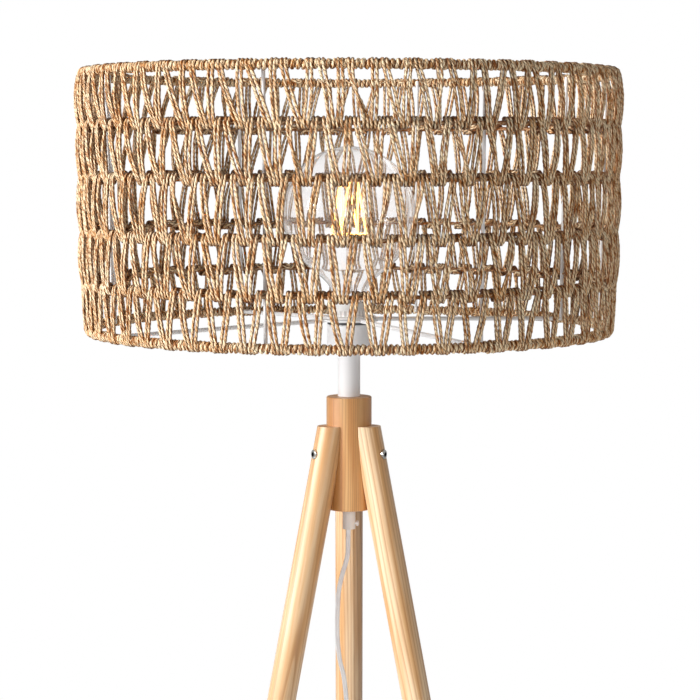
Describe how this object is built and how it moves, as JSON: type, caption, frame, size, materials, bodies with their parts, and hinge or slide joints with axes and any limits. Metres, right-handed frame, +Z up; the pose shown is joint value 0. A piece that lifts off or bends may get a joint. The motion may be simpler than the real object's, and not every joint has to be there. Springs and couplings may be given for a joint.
{
  "type": "floor lamp",
  "caption": "Tripod floor lamp with a woven twine drum shade on a wire frame, round splayed wooden legs, a clear globe bulb and a flat cord with a foot switch.",
  "frame": {"origin": "on the floor, under the lamp's vertical axis", "axes": "+Z up along the stem, -Y towards the front between the two front legs, +X to the right seen from the front"},
  "size_m": [0.5098, 0.5098, 1.3722],
  "materials": {
    "pine": "satin clear lacquer",
    "nickel": "bright plated",
    "brass": "plain",
    "felt": "felted",
    "white_metal": "satin",
    "white_plastic": "satin",
    "steel": "plain",
    "black_glass": "gloss",
    "clear_glass": "clear",
    "filament": "lit warm white",
    "twine": "twisted plant fibre twine",
    "cord_white": "soft"
  },
  "bodies": {
    "stand": {"hub": "pine", "leg_front_left": "pine", "leg_front_right": "pine", "leg_rear": "pine", "leg_bolt_front_left": "nickel", "leg_bolt_front_right": "nickel", "leg_bolt_rear": "nickel", "hub_insert_front_left": "brass", "hub_insert_front_right": "brass", "hub_insert_rear": "brass", "foot_pad_front_left": "felt", "foot_pad_front_right": "felt", "foot_pad_rear": "felt", "stem_tube": "white_metal", "threaded_rod": "steel", "hub_lock_nut": "steel", "cord_grip": "white_plastic", "grip_screw": "white_metal", "socket_cup": "white_metal", "seat_washer": "steel", "lampholder_body": "white_plastic", "lampholder_base": "white_plastic", "screw_shell": "brass", "centre_contact": "brass", "inner_lead": "cord_white", "cord_hanging": "cord_white", "cord_on_floor": "cord_white", "cord_coil": "cord_white", "coil_tie": "white_plastic", "switch_base": "white_plastic", "switch_cover": "white_plastic", "plug_body": "white_plastic", "plug_blade_left": "nickel", "plug_blade_right": "nickel"},
    "shade": {"shade_upper_ring": "white_metal", "shade_lower_ring": "white_metal", "shade_strut_1": "white_metal", "shade_strut_2": "white_metal", "shade_strut_3": "white_metal", "shade_strut_4": "white_metal", "shade_strut_5": "white_metal", "shade_strut_6": "white_metal", "shade_strut_7": "white_metal", "shade_strut_8": "white_metal", "shade_spider": "white_metal", "upper_binding": "twine", "lower_binding": "twine", "weave_tier_1": "twine", "weave_tier_2": "twine", "weave_tier_3": "twine", "weave_tier_4": "twine", "weave_tier_5": "twine"},
    "ring_nut": {"shade_ring_nut": "white_plastic"},
    "bulb": {"bulb_glass": "clear_glass", "bulb_cap": "nickel", "cap_insulator": "black_glass", "cap_tip": "brass", "glass_stem": "clear_glass", "filament_cage": "filament"},
    "foot_button": {"switch_button": "white_plastic"}
  },
  "joints": [
    {"name": "shade_turn", "type": "hinge", "parent": "stand", "child": "shade", "pos_m": [0, 0, 1.139], "axis": [0, 0, 1], "continuous": true},
    {"name": "nut_turn", "type": "hinge", "parent": "stand", "child": "ring_nut", "pos_m": [0, 0, 1.145], "axis": [0, 0, 1], "continuous": true},
    {"name": "bulb_lift", "type": "slide", "parent": "stand", "child": "bulb", "axis": [0, 0, 1], "range_m": [0, 0.03]},
    {"name": "foot_press", "type": "slide", "parent": "stand", "child": "foot_button", "axis": [0, 0, -1], "range_m": [0, 0.003], "stiffness_N_per_m": 400, "springref_m": -0.002}
  ]
}
